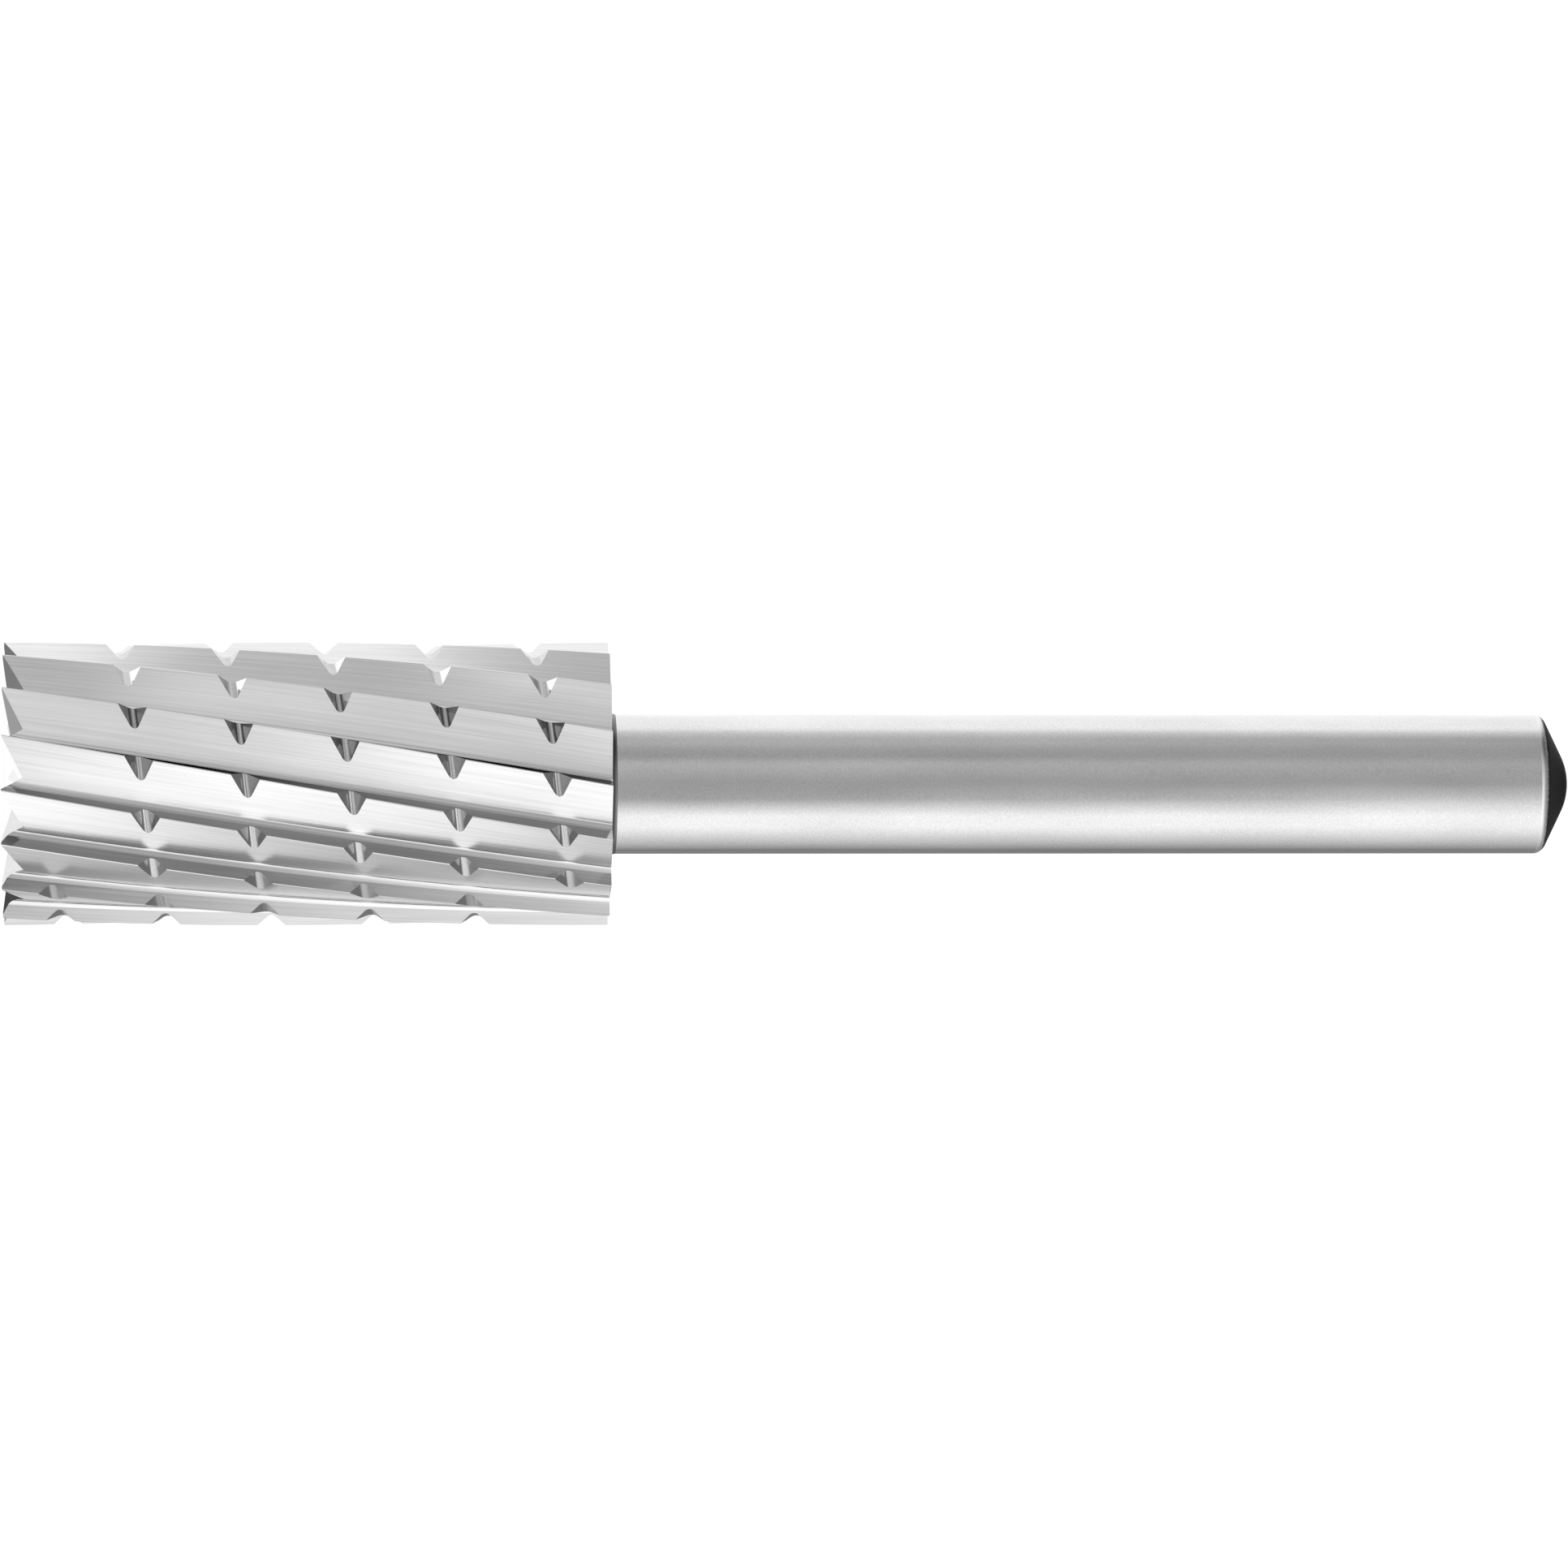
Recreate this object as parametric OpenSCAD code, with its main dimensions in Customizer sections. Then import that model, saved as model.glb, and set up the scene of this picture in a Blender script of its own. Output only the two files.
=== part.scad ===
// Cylindrical rotary burr with an end cut: a toothed head and a plain round shank, ground from one bar.
// The tool stands on the tips of its end teeth, with its axis along +Z and the shank above the head.

/* [Head] */
// Diameter over the tooth crests
head_d = 12.1; // [10:0.1:16]
// Length of the head, from the tooth tips to its rear face
head_length = 25.8; // [18:0.1:32]

/* [Side teeth] */
// Number of teeth round the head
tooth_count = 16; // [12:1:20]
// Right-hand helix angle of the teeth, measured at the crests
helix_angle = 10; // [2:0.1:20]
// Depth of the flutes below the crests
flute_depth = 0.7; // [0.6:0.01:0.9]
// Radius of the rounded flute bottoms
gullet_r = 0.25; // [0.15:0.01:0.35]
// Rake angle of the tooth faces; below zero a face leans forward over the flute
rake_angle = -17; // [-25:0.5:5]
// Radius of the slightly rounded tooth backs
back_r = 60; // [15:1:100]
// Width of the narrow land along each crest
land_width = 0.04; // [0.02:0.01:0.15]

/* [Chip breaker] */
// Pitch of the one-start helical groove that notches the teeth
breaker_pitch = 4.39; // [3:0.01:6]
// Depth of the notches below the crests, at the tooth faces
breaker_depth = 0.45; // [0.3:0.01:0.5]
// Angle at which each notch deepens behind the tooth face
breaker_relief = 2; // [0:0.5:10]
// Angle between the flanks of the groove
breaker_angle = 92; // [60:1:100]
// Radius of the rounded groove bottom
breaker_root_r = 0.3; // [0.1:0.01:0.35]
// Distance of the first notch from the tooth tips
breaker_start = 2.15; // [1.5:0.01:5]
// Least distance of the last notch from the rear face
breaker_end = 1.6; // [1:0.01:5]
// Tooth that holds the first notch, counted from the reference tooth
breaker_first_tooth = 2; // [-8:1:8]

/* [End teeth] */
// Angle by which the end cutting edges rise toward the centre
dish_angle = 6.5; // [2:0.5:15]
// Relief angle behind each end cutting edge
end_relief = 27; // [10:0.5:32]
// Share of the tooth pitch taken by that relief; the steep wall up to the next edge takes the rest
relief_share = 0.78; // [0.5:0.01:0.9]
// Diameter of the centre recess in the end face
centre_d = 2; // [1:0.1:4]
// Angle between the walls of the centre recess
centre_angle = 60; // [50:1:90]

/* [Shank] */
// Diameter of the shank
shank_d = 6; // [4:0.1:8]
// Length of the shank, from the rear face of the head to its rounded end
shank_length = 41.4; // [25:0.1:60]
// Radius of the fillet between the head and the shank
neck_r = 0.3; // [0.1:0.05:0.8]
// Radius of the rounded shoulder near the shank's end
shoulder_r = 0.5; // [0.2:0.05:0.8]
// Slope of the shank's conical end, from a flat face
nose_angle = 26.5; // [15:0.5:40]
// Radius of the domed point on that cone
nose_r = 2.8; // [1:0.1:4]

/* [Hidden] */

// Direction of the reference tooth's crest at the front end
reference_phase = -87.6;
// Straight steps along the head, down a tooth's back, round a flute's and a groove's bottom, and
// round each curve of the shank
helix_slices = 14;
back_steps = 3;
gullet_steps = 6;
root_steps = 4;
shank_steps = 8;
// How far cutters reach past the surface that they cut, and the shank into the head
overcut = 0.5;
shank_seat = 3;
// Shares of the crest spacing by which a notch cutter reaches behind the tooth face, and ahead of it
notch_behind = 0.62;
notch_ahead = 0.15;
// Height of the sharp corner between the fillet and the head's rear face
neck_step = 0.01;
// Angle by which each ridge of the end cut stands ahead of its tooth's face
ridge_lead = 0.3;
// Width of the flat left on each tooth tip, on which the tool stands
tip_flat = 0.02;

head_r = head_d / 2;
shank_r = shank_d / 2;
root_r = head_r - flute_depth;
tooth_pitch = 360 / tooth_count;
// Turn of the teeth about the axis, for each millimetre of height
helix_rate = tan(helix_angle) / head_r * 180 / PI;
// Turn of the groove about the axis, for each millimetre of height
breaker_rate = 360 / breaker_pitch;
// Height between the notches of neighbouring teeth
notch_rise = tooth_pitch / (breaker_rate - helix_rate);
notch_count = 1 + floor((head_length - breaker_start - breaker_end) / notch_rise);

// Height of the middle of the end face above the tooth tips
face_z = head_r * tan(dish_angle) - (tip_flat + head_r * sin(ridge_lead)) * tan(end_relief);

// Angle of a tooth's crest at a height above the tooth tips
function crest_angle(tooth, height) = reference_phase + tooth * tooth_pitch + height * helix_rate;

function polar(radius, angle) = [radius * cos(angle), radius * sin(angle)];

// Points of an arc, from one angle to another
function arc(centre, radius, from, to, steps) =
    [for (i = [0:steps]) centre + polar(radius, from + (to - from) * i / steps)];

// All points of a list but the first
function after_first(points) = [for (i = [1:len(points) - 1]) points[i]];

// One tooth of the cross-section: its crest and land, the slightly rounded back, and the
// rounded flute bottom, which runs out on the next tooth's face
function tooth_outline(start) =
    let (
        land_end = polar(head_r, land_width / head_r * 180 / PI),
        inward = polar(1, tooth_pitch + 180 - rake_angle),
        offset = polar(head_r, tooth_pitch) + polar(gullet_r, tooth_pitch - 90 - rake_angle),
        drop = offset * inward,
        span = drop * drop - offset * offset + pow(root_r + gullet_r, 2),
        gullet = offset - (drop + sqrt(span)) * inward,
        reach = gullet - land_end,
        side = back_r + gullet_r,
        swing = acos((back_r * back_r + reach * reach - side * side) / (2 * back_r * norm(reach))),
        back = land_end + polar(back_r, atan2(reach.y, reach.x) + swing),
        back_start = atan2(land_end.y - back.y, land_end.x - back.x),
        back_end = atan2(gullet.y - back.y, gullet.x - back.x),
        outline = concat(
            [[head_r, 0]],
            arc(back, back_r, back_start, back_end, back_steps),
            after_first(arc(gullet, gullet_r, back_end + 180, tooth_pitch + 90 - rake_angle, gullet_steps))
        )
    )
    [for (p = outline) [p.x * cos(start) - p.y * sin(start), p.x * sin(start) + p.y * cos(start)]];

// Solid bar with helical teeth over its whole length
module fluted_bar() {
    outline = [for (tooth = [0:tooth_count - 1]) each tooth_outline(crest_angle(tooth, 0))];
    linear_extrude(height = head_length, twist = -helix_rate * head_length, slices = helix_slices)
        polygon(outline);
}

// Section of the groove as radius and height: a V with a rounded bottom
function breaker_section() =
    let (
        half = breaker_angle / 2,
        root_centre = head_r - breaker_depth + breaker_root_r,
        mouth_r = head_r + overcut,
        flank_rise = mouth_r - root_centre + breaker_root_r * sin(half),
        mouth_half = breaker_root_r * cos(half) + flank_rise * tan(half)
    )
    concat(
        [[mouth_r, -mouth_half]],
        arc([root_centre, 0], breaker_root_r, 270 - half, 90 + half, root_steps),
        [[mouth_r, mouth_half]]
    );

// One notch: a short straight stretch of the groove, which deepens behind the tooth face at 0 deg
module notch() {
    crest_spacing = PI * head_d / tooth_count;
    translate([head_r, 0, 0])
        rotate([0, 0, breaker_relief])
            rotate([90 + atan(breaker_pitch / (PI * head_d)), 0, 0])
                translate([-head_r, 0, -notch_behind * crest_spacing])
                    linear_extrude(height = (notch_behind + notch_ahead) * crest_spacing)
                        polygon(breaker_section());
}

// The one-start helical groove, cut only where it meets a tooth
module chip_breaker() {
    for (i = [0:notch_count - 1])
        let (height = breaker_start + i * notch_rise)
            translate([0, 0, height])
                rotate([0, 0, crest_angle(breaker_first_tooth + i, height)])
                    notch();
}

// What is ground off the front: a crown with one ridge under each end cutting edge. A relief
// facet climbs from the ridge to a valley, and a steep wall drops from there to the next ridge.
module end_cut() {
    outer_r = head_r + overcut;
    valley_angle = relief_share * tooth_pitch;
    ridge_z = face_z - outer_r * tan(dish_angle);
    valley_rise = sin(valley_angle) * tan(end_relief) - cos(valley_angle) * tan(dish_angle);
    valley_z = face_z + outer_r * valley_rise;
    rim = [
        for (tooth = [0:tooth_count - 1])
            let (ridge_angle = crest_angle(tooth, 0) - ridge_lead)
                each [
                    concat(polar(outer_r, ridge_angle), ridge_z),
                    concat(polar(outer_r, ridge_angle + valley_angle), valley_z)
                ]
    ];
    n = len(rim);
    base = [for (p = rim) [p.x, p.y, ridge_z - overcut]];
    points = concat(rim, base, [[0, 0, face_z], [0, 0, ridge_z - overcut]]);
    faces = [
        for (k = [0:n - 1])
            let (next = (k + 1) % n)
                each [
                    [2 * n, next, k],
                    [k, next, n + k],
                    [next, n + next, n + k],
                    [2 * n + 1, n + k, n + next]
                ]
    ];
    polyhedron(points, faces);
}

// Conical recess in the middle of the end face
module centre_recess() {
    depth = centre_d / 2 / tan(centre_angle / 2);
    translate([0, 0, face_z - depth])
        cylinder(h = 2 * depth, r1 = centre_d, r2 = 0, $fn = 32);
}

module head() {
    resize([0, 0, head_length])
        difference() {
            fluted_bar();
            chip_breaker();
            end_cut();
            centre_recess();
        }
}

// Half outline of the shank: fillet on the head, cylinder, shoulder, cone and domed point
function shank_outline() =
    let (
        dome_centre = shank_length - nose_r,
        dome_end_r = nose_r * sin(nose_angle),
        dome_end_z = dome_centre + nose_r * cos(nose_angle),
        shoulder_centre_r = shank_r - shoulder_r,
        cone_end_r = shoulder_centre_r + shoulder_r * sin(nose_angle),
        cone_end_z = dome_end_z - (cone_end_r - dome_end_r) * tan(nose_angle),
        shoulder_centre_z = cone_end_z - shoulder_r * cos(nose_angle)
    )
    concat(
        [[0, -shank_seat], [shank_r + neck_r, -shank_seat]],
        arc([shank_r + neck_r, neck_step + neck_r], neck_r, 270, 180, shank_steps),
        arc([shoulder_centre_r, shoulder_centre_z], shoulder_r, 0, 90 - nose_angle, shank_steps),
        arc([0, dome_centre], nose_r, 90 - nose_angle, 90, shank_steps)
    );

module shank() {
    translate([0, 0, head_length])
        rotate_extrude($fn = 96)
            polygon(shank_outline());
}

module rotary_burr() {
    color("silver") {
        head();
        shank();
    }
}

rotary_burr();
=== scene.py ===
"""Cylindrical rotary burr of ground high-speed steel, standing on its end teeth.

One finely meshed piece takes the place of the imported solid. It is cut in the same order as the
real tool: helical flutes, one chip-breaking groove, an end cut, and the shank behind the head.
"""
import math

import bmesh
import bpy
from mathutils import Matrix, Vector


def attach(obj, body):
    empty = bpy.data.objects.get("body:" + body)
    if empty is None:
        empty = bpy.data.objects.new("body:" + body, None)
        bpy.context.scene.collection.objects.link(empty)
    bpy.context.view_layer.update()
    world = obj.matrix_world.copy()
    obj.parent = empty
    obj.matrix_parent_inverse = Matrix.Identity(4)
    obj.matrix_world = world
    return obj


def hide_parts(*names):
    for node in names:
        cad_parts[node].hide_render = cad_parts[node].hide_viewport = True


MM = 0.001

# Head, in millimetres and degrees
HEAD_R = 6.05
HEAD_LENGTH = 25.8
TOOTH_COUNT = 16
TOOTH_PITCH = 360 / TOOTH_COUNT
HELIX_ANGLE = 10
# Turn of the teeth for each millimetre of height
HELIX_RATE = math.degrees(math.tan(math.radians(HELIX_ANGLE)) / HEAD_R)
# Direction of the reference tooth's crest at the front end
REFERENCE_PHASE = -87.6
FLUTE_DEPTH = 0.7
GULLET_R = 0.25
# Below zero, a tooth's face leans forward over the flute
RAKE_ANGLE = -17
LAND_WIDTH = 0.04
BACK_R = 60
# Steps along the head, down a tooth's back and round a flute's bottom
SLICES = 104
BACK_STEPS = 5
GULLET_STEPS = 8

# Chip-breaking groove
GROOVE_PITCH = 4.39
GROOVE_DEPTH = 0.45
# Angle at which each notch deepens behind the tooth's face
GROOVE_RELIEF = 2
GROOVE_ANGLE = 92
GROOVE_ROOT_R = 0.3
# Distance of the first notch from the tooth tips, and least distance of the last from the rear
GROOVE_START = 2.15
GROOVE_END = 1.6
# Tooth that holds the first notch, counted from the reference tooth
GROOVE_FIRST_TOOTH = 2
# Shares of the crest spacing by which a notch reaches behind the tooth's face, and ahead of it
NOTCH_BEHIND = 0.62
NOTCH_AHEAD = 0.15

# End teeth
DISH_ANGLE = 6.5
END_RELIEF = 27
# Share of the tooth pitch that the relief facet takes; the steep wall takes the rest
RELIEF_SHARE = 0.78
# Angle by which each ridge of the end cut stands ahead of its tooth's face
RIDGE_LEAD = 0.3
# Width of the flat on each tooth tip, on which the tool stands
TIP_FLAT = 0.02
RECESS_D = 2
RECESS_ANGLE = 60

# Shank
SHANK_R = 3
SHANK_LENGTH = 41.4
# How far the shank reaches into the head
SHANK_SEAT = 3
NECK_R = 0.3
# Height of the sharp corner between the neck's fillet and the head's rear face
NECK_STEP = 0.01
SHOULDER_R = 0.5
# Slope of the coned end, from a flat face, and radius of the domed point on it
NOSE_ANGLE = 26.5
NOSE_R = 2.8
# Steps round the axis, and along each curve of an outline
LATHE_STEPS = 192
CURVE_STEPS = 12

# How far cutters reach past the surface that they cut
OVERCUT = 0.5
# An edge with a greater angle between its faces stays sharp
SMOOTH_ANGLE = 26

# Material slots of the piece, in the order in which make_materials lists them
BACK, FACE, GULLET, GROOVE, END, NECK, SHANK, NOSE = range(8)

# Distance of the black scale's ragged edge from the axis, its width and its raggedness
SCALE_R = 2.93
SCALE_EDGE = 0.07
SCALE_RAGGED = 0.08
# Tones of the scale at these distances from the axis, darker towards the point as painted shade on its
# curve, and of the bare steel outside it
SCALE_SHADE_R = (0.4, 2.8)
SCALE_SHADED_TONES = (0.002, 0.03)
BARE_TONE = 0.8
# Size of the scale's grain in millimetres, its bump in micrometres, and how far it turns the tone
SCALE_GRAIN = 0.12
SCALE_BUMP = 4
SCALE_MOTTLE = (0.6, 1.4)
# Roughness of the scale and of the bare steel, and the scale's faint shine
SCALE_GLOSS = (0.5, 0.3)
SCALE_SHINE = 0.05

# Size across and along of the blotches on ground steel, in millimetres
BLOTCH = (1.5, 6)
# Share of the fine grain in the steel's tone; the blotches have the rest
FINE_SHARE = 0.6
GRAIN_DETAIL = 3.0

# Camera, from the perspective of the photograph
CAMERA_DISTANCE = 395
CAMERA_HEIGHT = 9.91
CAMERA_TILT = 3.4
CAMERA_FOV = 9.726

# In metres: radius of the round floor, and the nearest and farthest that the camera sees
FLOOR_R = 3.0
FLOOR_STEPS = 96
CAMERA_CLIP = (0.01, 20.0)


# Outlines
def sin_d(angle):
    return math.sin(math.radians(angle))


def cos_d(angle):
    return math.cos(math.radians(angle))


def tan_d(angle):
    return math.tan(math.radians(angle))


def polar(radius, angle):
    return Vector((radius * cos_d(angle), radius * sin_d(angle)))


def bearing(vector):
    return math.degrees(math.atan2(vector.y, vector.x))


def arc(centre, radius, start, end, steps):
    """Points of an arc, from one angle to another."""
    return [Vector(centre) + polar(radius, start + (end - start) * i / steps) for i in range(steps + 1)]


def crest_angle(tooth, height):
    return REFERENCE_PHASE + tooth * TOOTH_PITCH + height * HELIX_RATE


def tooth_outline():
    """One tooth of the section, from its crest to the next, with the slot of the face after each point."""
    crest = Vector((HEAD_R, 0))
    land_end = polar(HEAD_R, math.degrees(LAND_WIDTH / HEAD_R))
    inward = polar(1, TOOTH_PITCH + 180 - RAKE_ANGLE)
    offset = polar(HEAD_R, TOOTH_PITCH) + polar(GULLET_R, TOOTH_PITCH - 90 - RAKE_ANGLE)
    drop = offset.dot(inward)
    span = drop ** 2 - offset.length_squared + (HEAD_R - FLUTE_DEPTH + GULLET_R) ** 2
    centre = offset - (drop + math.sqrt(span)) * inward
    reach = centre - land_end
    side = BACK_R + GULLET_R
    swing = math.acos((BACK_R ** 2 + reach.length ** 2 - side ** 2) / (2 * BACK_R * reach.length))
    back_centre = land_end + polar(BACK_R, bearing(reach) + math.degrees(swing))
    back_end = bearing(centre - back_centre)
    back = arc(back_centre, BACK_R, bearing(land_end - back_centre), back_end, BACK_STEPS)
    gullet = arc(centre, GULLET_R, back_end + 180, TOOTH_PITCH + 90 - RAKE_ANGLE, GULLET_STEPS)
    points = [(crest, BACK)]
    points += [(p, BACK) for p in back[:-1]]
    points += [(p, GULLET) for p in gullet[:-1]]
    points += [(gullet[-1], FACE)]
    return points


def groove_section():
    """Radius and height round the groove's section: a V with a rounded bottom."""
    half = GROOVE_ANGLE / 2
    centre_r = HEAD_R - GROOVE_DEPTH + GROOVE_ROOT_R
    mouth_r = HEAD_R + OVERCUT
    flank_rise = mouth_r - centre_r + GROOVE_ROOT_R * sin_d(half)
    mouth_half = GROOVE_ROOT_R * cos_d(half) + flank_rise * tan_d(half)
    root = arc((centre_r, 0), GROOVE_ROOT_R, 270 - half, 90 + half, CURVE_STEPS)
    return [Vector((mouth_r, -mouth_half)), *root, Vector((mouth_r, mouth_half))]


def shank_outline():
    """Radius and height up the shank, from inside the head to the middle of the dome."""
    dome_end_r = NOSE_R * sin_d(NOSE_ANGLE)
    dome_end_z = NOSE_R * (cos_d(NOSE_ANGLE) - 1)
    shoulder_x = SHANK_R - SHOULDER_R
    cone_end_r = shoulder_x + SHOULDER_R * sin_d(NOSE_ANGLE)
    cone_end_z = dome_end_z - (cone_end_r - dome_end_r) * tan_d(NOSE_ANGLE)
    shoulder_z = SHANK_LENGTH + cone_end_z - SHOULDER_R * cos_d(NOSE_ANGLE)
    neck_x = SHANK_R + NECK_R
    neck = arc((neck_x, NECK_STEP + NECK_R), NECK_R, 270, 180, CURVE_STEPS)
    shoulder = arc((shoulder_x, shoulder_z), SHOULDER_R, 0, 90 - NOSE_ANGLE, CURVE_STEPS)
    dome = arc((0, SHANK_LENGTH - NOSE_R), NOSE_R, 90 - NOSE_ANGLE, 90, CURVE_STEPS)
    outline = [(p, NECK) for p in [Vector((neck_x, -SHANK_SEAT)), *neck[:-1]]]
    outline += [(neck[-1], SHANK)]
    outline += [(p, NOSE) for p in [*shoulder, *dome[:-1]]]
    return outline


# Solids
def solid(name, points, faces, slots):
    """Mesh object from points in millimetres, with the slot of each face."""
    mesh = bpy.data.meshes.new(name)
    mesh.from_pydata([Vector(p) * MM for p in points], [], faces)
    for material in MATERIALS:
        mesh.materials.append(material)
    mesh.polygons.foreach_set("material_index", slots)
    edit = bmesh.new()
    edit.from_mesh(mesh)
    bmesh.ops.triangulate(edit, faces=[f for f in edit.faces if len(f.verts) > 4])
    bmesh.ops.recalc_face_normals(edit, faces=edit.faces)
    edit.to_mesh(mesh)
    edit.free()
    piece = bpy.data.objects.new(name, mesh)
    bpy.context.collection.objects.link(piece)
    return piece


def ring_faces(first, count):
    """Faces between one ring of points, from the given index, and the ring after it."""
    pairs = [(first + j, first + (j + 1) % count) for j in range(count)]
    return [(a, b, b + count, a + count) for a, b in pairs]


def fluted_bar():
    """Bar with helical teeth over its whole length."""
    section = tooth_outline()
    turns = [Matrix.Rotation(math.radians(crest_angle(tooth, 0)), 2) for tooth in range(TOOTH_COUNT)]
    outline = [turn @ point for turn in turns for point, _ in section]
    slots = [slot for _, slot in section] * TOOTH_COUNT
    count = len(outline)
    points = []
    faces = []
    for i in range(SLICES + 1):
        height = HEAD_LENGTH * i / SLICES
        turn = Matrix.Rotation(math.radians(height * HELIX_RATE), 2)
        points += [(turn @ p).to_3d() + Vector((0, 0, height)) for p in outline]
        faces += ring_faces(i * count, count) if i < SLICES else []
    faces += [tuple(reversed(range(count))), tuple(range(len(points) - count, len(points)))]
    return solid("burr", points, faces, slots * SLICES + [END, END])


def notches():
    """Short straight stretches of the groove, one for each tooth that it meets."""
    rate = 360 / GROOVE_PITCH
    rise = TOOTH_PITCH / (rate - HELIX_RATE)
    notch_count = 1 + math.floor((HEAD_LENGTH - GROOVE_START - GROOVE_END) / rise)
    crest_spacing = 2 * math.pi * HEAD_R / TOOTH_COUNT
    ends = (-NOTCH_AHEAD * crest_spacing, NOTCH_BEHIND * crest_spacing)
    crest = Matrix.Translation((HEAD_R, 0, 0))
    lead = Matrix.Rotation(math.atan(GROOVE_PITCH / (2 * math.pi * HEAD_R)), 4, "X")
    tilt = Matrix.Rotation(math.radians(GROOVE_RELIEF), 4, "Z")
    section = groove_section()
    count = len(section)
    points = []
    faces = []
    for i in range(notch_count):
        height = GROOVE_START + i * rise
        turn = Matrix.Rotation(math.radians(crest_angle(GROOVE_FIRST_TOOTH + i, height)), 4, "Z")
        place = Matrix.Translation((0, 0, height)) @ turn @ crest @ tilt @ lead @ crest.inverted()
        first = len(points)
        points += [place @ Vector((p.x, y, p.y)) for y in ends for p in section]
        faces += ring_faces(first, count)
        faces += [tuple(range(first, first + count)), tuple(range(first + count, first + 2 * count))]
    return solid("notches", points, faces, [GROOVE] * len(faces))


def face_height():
    """Height of the middle of the end face above the tooth tips."""
    return HEAD_R * tan_d(DISH_ANGLE) - (TIP_FLAT + HEAD_R * sin_d(RIDGE_LEAD)) * tan_d(END_RELIEF)


def end_cut():
    """Crown with one ridge under each end cutting edge, a relief facet and a steep wall."""
    outer = HEAD_R + OVERCUT
    valley = RELIEF_SHARE * TOOTH_PITCH
    ridge_z = face_height() - outer * tan_d(DISH_ANGLE)
    valley_rise = sin_d(valley) * tan_d(END_RELIEF) - cos_d(valley) * tan_d(DISH_ANGLE)
    valley_z = face_height() + outer * valley_rise
    base_z = ridge_z - OVERCUT
    rim = []
    for tooth in range(TOOTH_COUNT):
        ridge = crest_angle(tooth, 0) - RIDGE_LEAD
        rim.append(polar(outer, ridge).to_3d() + Vector((0, 0, ridge_z)))
        rim.append(polar(outer, ridge + valley).to_3d() + Vector((0, 0, valley_z)))
    count = len(rim)
    base = [Vector((p.x, p.y, base_z)) for p in rim]
    points = [*rim, *base, Vector((0, 0, face_height())), Vector((0, 0, base_z))]
    faces = []
    for k in range(count):
        following = (k + 1) % count
        faces += [
            (2 * count, k, following),
            (k, count + k, count + following, following),
            (2 * count + 1, count + following, count + k),
        ]
    return solid("end_cut", points, faces, [END] * len(faces))


def lathe(name, outline, top):
    """Solid of revolution from radius and height, closed by a flat base and a middle point."""
    circle = [polar(1, 360 * j / LATHE_STEPS) for j in range(LATHE_STEPS)]
    points = [Vector((p.x * c.x, p.x * c.y, p.y)) for p, _ in outline for c in circle]
    points.append(Vector((0, 0, top)))
    faces = [tuple(reversed(range(LATHE_STEPS)))]
    slots = [outline[0][1]]
    for i in range(len(outline) - 1):
        faces += ring_faces(i * LATHE_STEPS, LATHE_STEPS)
        slots += [outline[i][1]] * LATHE_STEPS
    rim = [a + (len(outline) - 1) * LATHE_STEPS for a in range(LATHE_STEPS)]
    faces += [(a, b, len(points) - 1) for a, b in zip(rim, rim[1:] + rim[:1])]
    return solid(name, points, faces, slots + [outline[-1][1]] * LATHE_STEPS)


def centre_recess():
    """Cone that makes the recess in the middle of the end face."""
    depth = RECESS_D / 2 / tan_d(RECESS_ANGLE / 2)
    base = face_height() - depth
    return lathe("recess", [(Vector((RECESS_D, base)), END)], base + 2 * depth)


def shank():
    """Shank with its neck, shoulder and coned end."""
    outline = [(p + Vector((0, HEAD_LENGTH)), slot) for p, slot in shank_outline()]
    return lathe("shank", outline, HEAD_LENGTH + SHANK_LENGTH)


def combine(piece, tool, operation):
    """Cuts a tool from the piece, or adds it, and removes the tool."""
    modifier = piece.modifiers.new(tool.name, "BOOLEAN")
    modifier.operation = operation
    modifier.solver = "MANIFOLD"
    modifier.object = tool
    evaluated = piece.evaluated_get(bpy.context.evaluated_depsgraph_get())
    mesh = bpy.data.meshes.new_from_object(evaluated)
    piece.modifiers.clear()
    piece.data = mesh
    bpy.data.objects.remove(tool)


def make_burr():
    """The whole tool as one piece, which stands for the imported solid."""
    burr = fluted_bar()
    combine(burr, notches(), "DIFFERENCE")
    combine(burr, end_cut(), "DIFFERENCE")
    combine(burr, centre_recess(), "DIFFERENCE")
    combine(burr, shank(), "UNION")
    burr.data.shade_smooth()
    burr.data.set_sharp_from_angle(angle=math.radians(SMOOTH_ANGLE))
    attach(burr, "root")
    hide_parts("rotary_burr")


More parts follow.
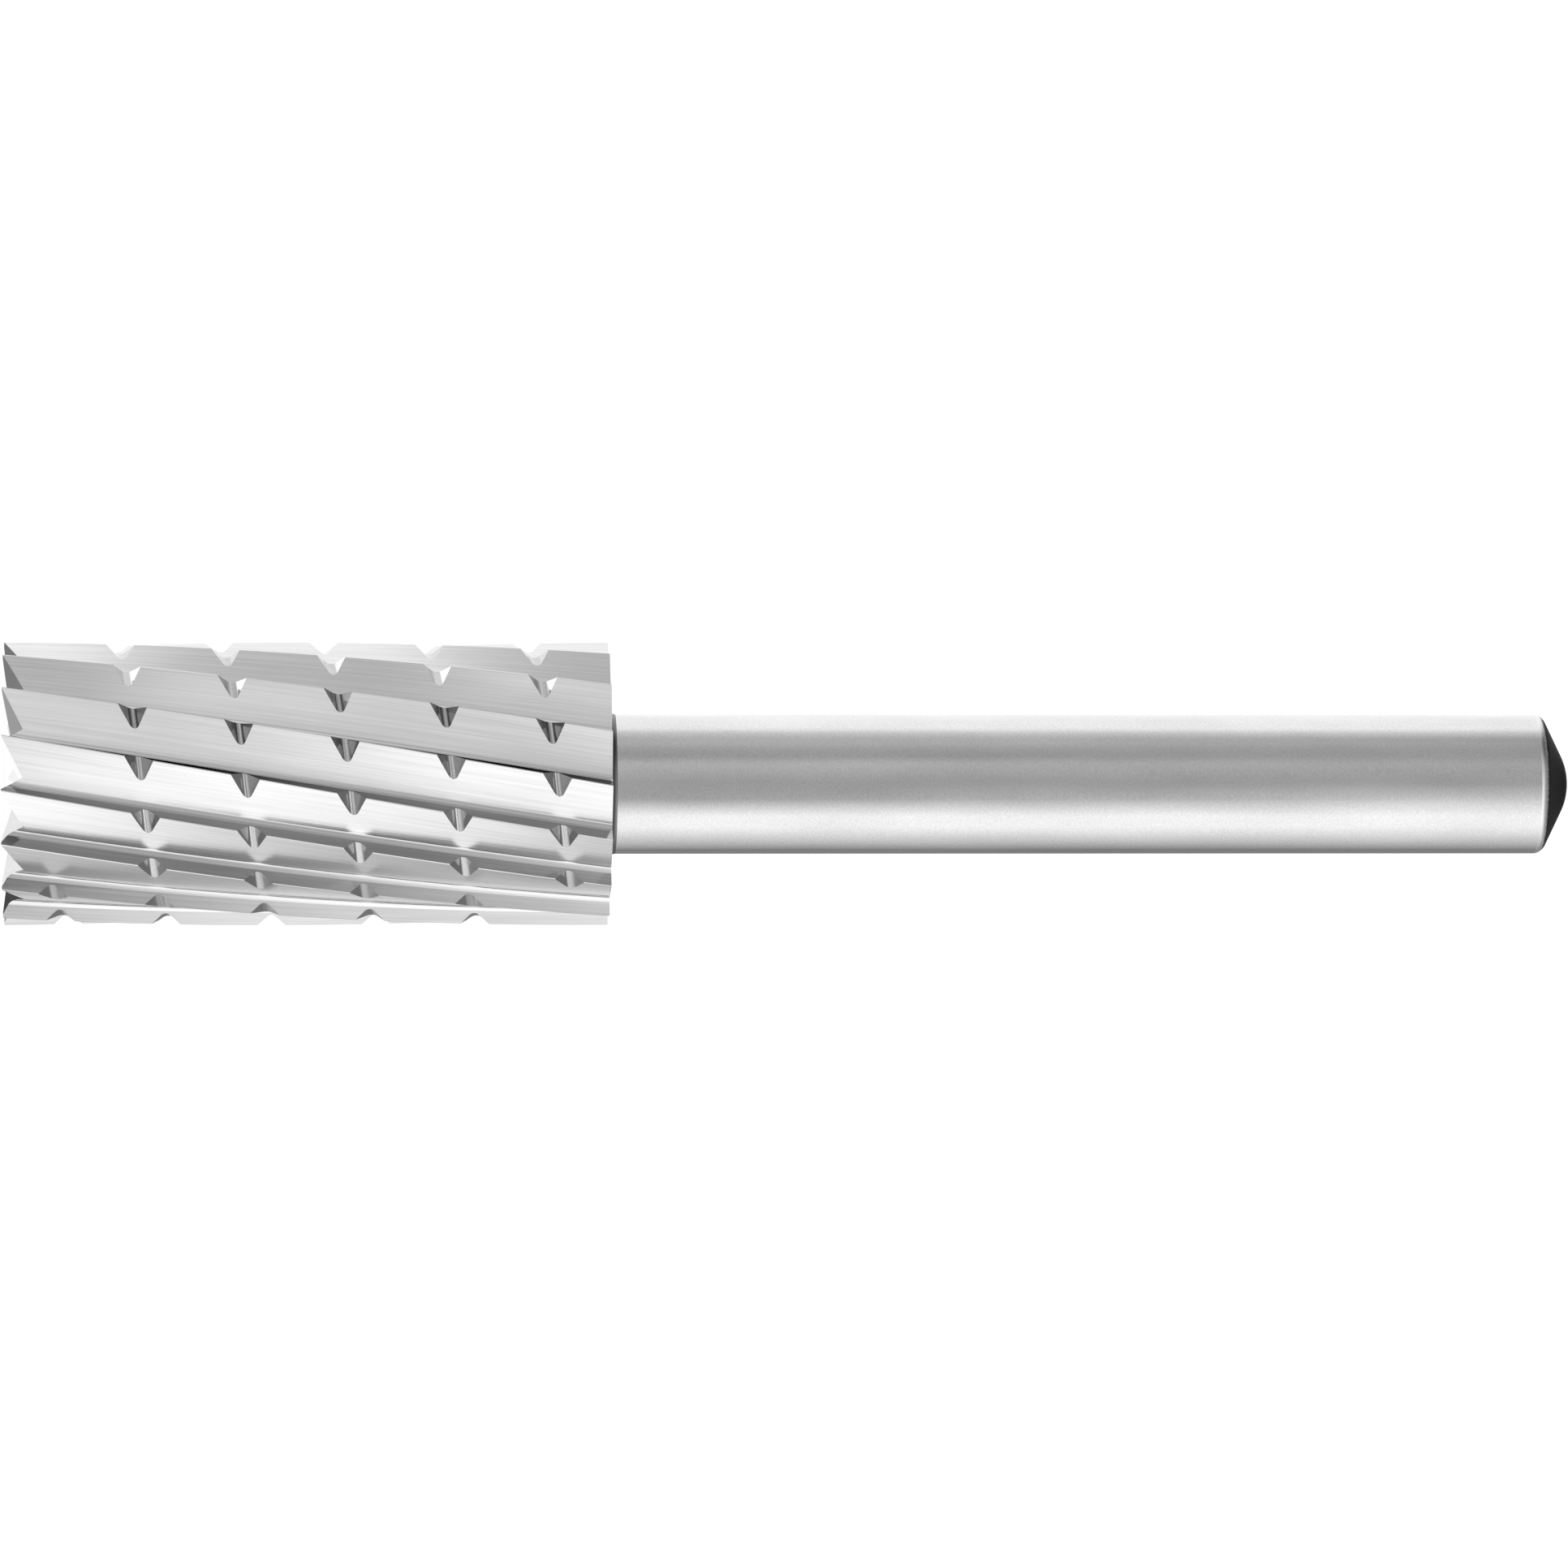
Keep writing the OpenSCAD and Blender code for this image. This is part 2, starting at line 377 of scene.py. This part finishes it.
# Materials
class Nodes:
    """Short calls that add nodes to a tree. A value may be a number, a vector or a socket."""

    def __init__(self, tree):
        self.tree = tree
        tree.nodes.clear()

    def add(self, kind, inputs=(), **settings):
        node = self.tree.nodes.new(kind)
        for name, value in settings.items():
            setattr(node, name, value)
        for key, value in dict(inputs).items():
            self.put(node.inputs[key], value)
        return node

    def put(self, socket, value):
        if isinstance(value, bpy.types.NodeSocket):
            self.tree.links.new(value, socket)
        else:
            socket.default_value = value

    def math(self, operation, *values):
        return self.add("ShaderNodeMath", enumerate(values), operation=operation).outputs[0]

    def vector(self, operation, *values):
        return self.add("ShaderNodeVectorMath", enumerate(values), operation=operation).outputs[0]

    def ramp(self, value, stops):
        """Value read from a list of (position, level)."""
        node = self.add("ShaderNodeValToRGB", {"Fac": value})
        ramp = node.color_ramp
        while len(ramp.elements) < len(stops):
            ramp.elements.new(1.0)
        for element, (position, level) in zip(ramp.elements, stops):
            element.position = position
            element.color = (level, level, level, 1)
        return node.outputs["Color"]

    def spread(self, value, low, high):
        """A 0 to 1 value stretched to the range from low to high."""
        return self.math("MULTIPLY_ADD", value, high - low, low)

    def remap(self, value, start, end, low=0.0, high=1.0):
        """A value's range from start to end turned into the range from low to high."""
        inputs = {0: value, 1: start, 2: end, 3: low, 4: high}
        return self.add("ShaderNodeMapRange", inputs).outputs[0]

    def surface(self, inputs):
        """Principled shader with these inputs, joined to the output."""
        shader = self.add("ShaderNodeBsdfPrincipled", inputs)
        self.add("ShaderNodeOutputMaterial", {"Surface": shader.outputs[0]})


def new_material(name):
    """Empty material, with the calls that fill its tree."""
    material = bpy.data.materials.new(name)
    material.use_nodes = True
    return material, Nodes(material.node_tree)


def untwisted(nodes):
    """Object coordinates turned back so that the teeth run straight along Z."""
    place = nodes.add("ShaderNodeTexCoord").outputs["Object"]
    height = nodes.add("ShaderNodeSeparateXYZ", {0: place}).outputs["Z"]
    angle = nodes.math("MULTIPLY", height, -math.radians(HELIX_RATE) / MM)
    inputs = {"Vector": place, "Angle": angle}
    return nodes.add("ShaderNodeVectorRotate", inputs, rotation_type="Z_AXIS").outputs[0]


def straight(nodes):
    """Object coordinates as they are."""
    return nodes.add("ShaderNodeTexCoord").outputs["Object"]


def grain(nodes, place, across, along):
    """Noise drawn out along Z, with its lengths across and along the streaks in millimetres."""
    scale = (1 / (across * MM), 1 / (across * MM), 1 / (along * MM))
    drawn_out = nodes.vector("MULTIPLY", place, scale)
    inputs = {"Vector": drawn_out, "Scale": 1.0, "Detail": GRAIN_DETAIL}
    return nodes.add("ShaderNodeTexNoise", inputs).outputs["Fac"]


def steel(name, coordinates, tone, gloss, streak, bump, spread=0.0, edge=1.0):
    """Ground steel. tone and gloss are ranges of base colour and roughness, streak is the
    grain's size across and along in millimetres, bump is its depth in micrometres, spread is
    how much wider the grinding lines scatter light round the axis than along it, and edge is
    the tint of the metal at a glancing angle."""
    material, nodes = new_material(name)
    place = coordinates(nodes)
    fine = grain(nodes, place, *streak)
    coarse = grain(nodes, place, *BLOTCH)
    blotches = nodes.math("MULTIPLY", coarse, 1 - FINE_SHARE)
    mixed = nodes.math("MULTIPLY_ADD", fine, FINE_SHARE, blotches)
    level = nodes.ramp(mixed, [(0.3, 0), (0.7, 1)])
    bumped = nodes.add("ShaderNodeBump", {"Height": fine, "Distance": bump * MM * MM, "Strength": 1.0})
    nodes.surface({
        "Base Color": nodes.spread(level, *tone),
        "Metallic": 1.0,
        "Roughness": nodes.spread(coarse, *gloss),
        "Normal": bumped.outputs[0],
        "Anisotropic": spread,
        "Specular Tint": (edge, edge, edge, 1),
        "Tangent": nodes.add("ShaderNodeTangent", direction_type="RADIAL", axis="Z").outputs[0],
    })
    return material


def scale_nose():
    """Black heat-treatment scale on the coned end, and bare steel where the grinding starts."""
    material, nodes = new_material("nose_scale")
    place = straight(nodes)
    flat = nodes.vector("MULTIPLY", place, (1 / MM, 1 / MM, 0))
    radius = nodes.add("ShaderNodeVectorMath", {0: flat}, operation="LENGTH").outputs["Value"]
    fine = grain(nodes, place, SCALE_GRAIN, SCALE_GRAIN)
    ragged = nodes.math("MULTIPLY_ADD", fine, SCALE_RAGGED, radius)
    bare = nodes.remap(ragged, SCALE_R, SCALE_R + SCALE_EDGE)
    # The scale grows darker towards the point: painted shade that follows its curve. The mottle is the
    # scale's own.
    tone = nodes.remap(radius, *SCALE_SHADE_R, *SCALE_SHADED_TONES)
    shaded_black = nodes.math("MULTIPLY", tone, nodes.spread(fine, *SCALE_MOTTLE))
    colour = nodes.add("ShaderNodeMix", {0: bare, 2: shaded_black, 3: BARE_TONE}, data_type="FLOAT").outputs[0]
    bumped = nodes.add("ShaderNodeBump", {"Height": fine, "Distance": SCALE_BUMP * MM * MM})
    nodes.surface({
        "Base Color": colour,
        "Metallic": bare,
        "Roughness": nodes.spread(bare, *SCALE_GLOSS),
        "Specular IOR Level": SCALE_SHINE,
        "Normal": bumped.outputs[0],
    })
    return material


def make_materials():
    """The piece's materials, in the order of its slots."""
    return [
        steel("ground_back", untwisted, tone=(0.67, 0.83), gloss=(0.15, 0.2), streak=(0.1, 8),
              bump=2.6, spread=0.8),
        steel("ground_face", untwisted, tone=(0.47, 0.6), gloss=(0.08, 0.12), streak=(0.09, 8),
              bump=1.2, spread=0.5, edge=0.0),
        steel("ground_gullet", untwisted, tone=(0.72, 0.82), gloss=(0.14, 0.18), streak=(0.08, 8),
              bump=0.8, spread=0.4),
        steel("ground_groove", straight, tone=(0.46, 0.6), gloss=(0.1, 0.16), streak=(0.08, 0.08),
              bump=0.6),
        steel("ground_end", straight, tone=(0.58, 0.68), gloss=(0.1, 0.16), streak=(0.08, 0.08),
              bump=0.6),
        # The neck's dark tone is painted shade in the crease between the head and the shank; its turning
        # streaks are the steel's own grain.
        steel("turned_neck_painted_shade", straight, tone=(0.16, 0.24), gloss=(0.3, 0.4), streak=(0.5, 0.04),
              bump=0.6),
        steel("ground_shank", straight, tone=(0.62, 0.8), gloss=(0.13, 0.18), streak=(0.1, 0.07),
              bump=0.5),
        scale_nose(),
    ]


# Studio

# The studio round the burr is a dim room with soft-edged panels. Each panel has its level, and the
# bearings in degrees at which it starts, is full, stops being full and ends, counted from the
# camera's side and positive to the left. Its heights follow in the same way. A panel covers those
# that stand before it in the list.
ROOM = 0.25
PANELS = {
    "front of the room": (0.42, (-90, -60, 50, 80), (-100, -90, 25, 50)),
    "pale table": (0.85, (-60, -30, 45, 75), (-45, -25, -6, 4)),
    "grey wall": (0.6, (50, 70, 85, 100), (-25, -15, 8, 13)),
    "dim window": (0.6, (5, 30, 35, 45), (0, 3, 8, 12)),
    "pale floor behind": (0.48, (-190, -175, -130, -110), (-45, -20, -6, 0)),
    "left light": (1.16, (82, 104, 165, 190), (-55, -40, 22, 42)),
    "left light's foot": (1.9, (108, 120, 150, 168), (-60, -50, -35, -22)),
    "right light": (1.25, (-142, -76, -55, -25), (-60, -35, 26, 42)),
    "right light's foot": (1.34, (-80, -60, -42, -5), (-18, -9, -6, -1)),
    "overhead light": (1.2, (-60, -30, 0, 60), (13, 18, 26, 40)),
    "overhead light's near end": (1.4, (-80, -55, -30, 0), (9, 13, 24, 32)),
    "upper left flag": (0.08, (35, 60, 98, 114), (21, 28, 70, 80)),
    "lower left flag": (0.1, (30, 50, 90, 108), (-90, -80, -35, -22)),
    "background": (1.15, (160, 172, 185.5, 188), (-24, -8, 10, 24)),
    "right flag": (0.27, (-174, -171, -150, -135), (-9, -2, 30, 45)),
}


def share_within(nodes, value, start, full, last, end):
    """1 from full to last, falling to 0 at the start and at the end."""
    rise = nodes.remap(value, start, full)
    fall = nodes.remap(value, last, end, 1.0, 0.0)
    return nodes.math("MULTIPLY", rise, fall)


def make_world():
    """Light from all round: the room with its panels."""
    world = bpy.data.worlds.new("studio")
    world.use_nodes = True
    nodes = Nodes(world.node_tree)
    direction = nodes.add("ShaderNodeTexCoord").outputs["Generated"]
    x, y, z = nodes.add("ShaderNodeSeparateXYZ", {0: direction}).outputs
    left = nodes.math("MULTIPLY", x, -1.0)
    front = nodes.math("MULTIPLY", y, -1.0)
    side = nodes.math("DEGREES", nodes.math("ARCTAN2", left, front))
    height = nodes.math("DEGREES", nodes.math("ARCSINE", z))
    light = ROOM
    for level, bearings, heights in PANELS.values():
        middle = (bearings[0] + bearings[-1]) / 2
        turn = nodes.math("WRAP", side, middle + 180, middle - 180)
        across = share_within(nodes, turn, *bearings)
        upward = share_within(nodes, height, *heights)
        share = nodes.math("MULTIPLY", across, upward)
        mix = {0: share, 2: light, 3: level}
        light = nodes.add("ShaderNodeMix", mix, data_type="FLOAT").outputs[0]
    background = nodes.add("ShaderNodeBackground", {"Color": light})
    nodes.add("ShaderNodeOutputWorld", {"Surface": background.outputs[0]})
    bpy.context.scene.world = world


def make_floor():
    """Plain white floor under the tooth tips. It stays out of the steel's reflections."""
    mesh = bpy.data.meshes.new("floor")
    edit = bmesh.new()
    bmesh.ops.create_circle(edit, cap_ends=True, radius=FLOOR_R, segments=FLOOR_STEPS)
    edit.to_mesh(mesh)
    edit.free()
    material, nodes = new_material("floor_white")
    nodes.surface({
        "Base Color": (0.9, 0.9, 0.9, 1),
        "Roughness": 1.0,
        "Specular IOR Level": 0.0,
        "Emission Color": (1, 1, 1, 1),
        "Emission Strength": 0.8,
    })
    mesh.materials.append(material)
    floor = bpy.data.objects.new("floor", mesh)
    floor.visible_glossy = False
    bpy.context.collection.objects.link(floor)


def make_camera():
    """Camera at the photograph's viewing angle, with the burr's axis across the picture."""
    data = bpy.data.cameras.new("camera")
    data.sensor_fit = "HORIZONTAL"
    data.angle = math.radians(CAMERA_FOV)
    data.clip_start, data.clip_end = CAMERA_CLIP
    camera = bpy.data.objects.new("camera", data)
    right = Vector((0, -sin_d(CAMERA_TILT), cos_d(CAMERA_TILT)))
    up = Vector((-1, 0, 0))
    place = Matrix((right, up, right.cross(up))).transposed().to_4x4()
    place.translation = Vector((0, -CAMERA_DISTANCE, CAMERA_HEIGHT)) * MM
    camera.matrix_world = place
    bpy.context.collection.objects.link(camera)
    bpy.context.scene.camera = camera


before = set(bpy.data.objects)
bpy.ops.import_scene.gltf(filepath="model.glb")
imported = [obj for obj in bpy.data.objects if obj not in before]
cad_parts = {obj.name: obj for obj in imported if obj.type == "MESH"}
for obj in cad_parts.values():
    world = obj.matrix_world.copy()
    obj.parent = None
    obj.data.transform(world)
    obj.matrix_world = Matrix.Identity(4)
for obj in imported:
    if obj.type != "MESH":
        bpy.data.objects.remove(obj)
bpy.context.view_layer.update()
MATERIALS = make_materials()
make_burr()
make_world()
make_floor()
make_camera()
bpy.context.scene.view_settings.view_transform = "Standard"
